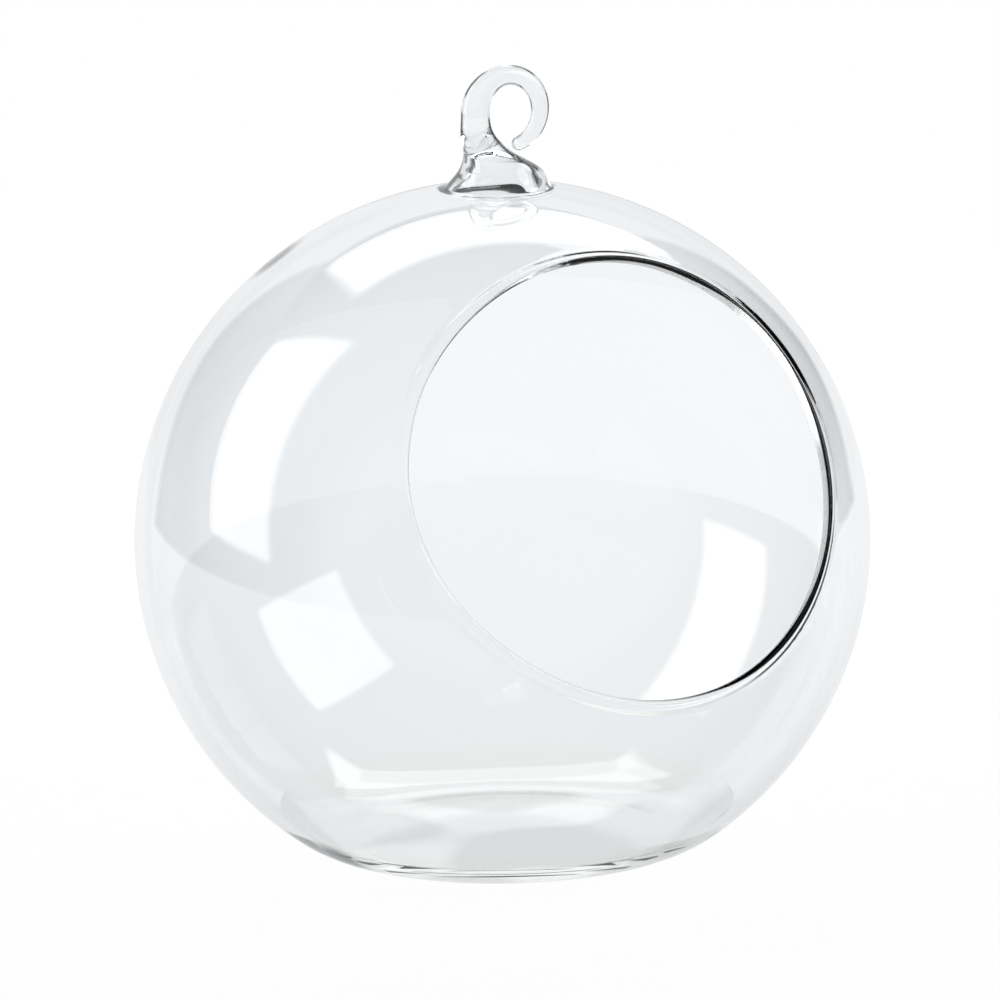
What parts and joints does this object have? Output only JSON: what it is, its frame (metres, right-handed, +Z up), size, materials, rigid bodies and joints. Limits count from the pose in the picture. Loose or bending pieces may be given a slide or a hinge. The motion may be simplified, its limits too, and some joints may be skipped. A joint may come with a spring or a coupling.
{
  "type": "glass globe terrarium",
  "caption": "Clear blown glass globe that stands on a pressed foot, with a wide round mouth that looks forwards and upwards and an open glass loop on its crown to hang it by.",
  "frame": {"origin": "centre of the foot's underside, on the globe's upright axis, in the plane that it stands on", "axes": "+Z up through the crown and the hanger, -Y out of the front, where the mouth is, and +X to the right as the mouth is faced"},
  "size_m": [0.12, 0.1179, 0.1293],
  "materials": {
    "clear_glass": "clear, fire-polished, with a faint cool tint where it is thick"
  },
  "bodies": {
    "root": {"globe_wall": "clear_glass", "globe_foot": "clear_glass", "mouth_rim": "clear_glass", "hanger_boss": "clear_glass", "hanger_loop": "clear_glass"}
  },
  "joints": []
}
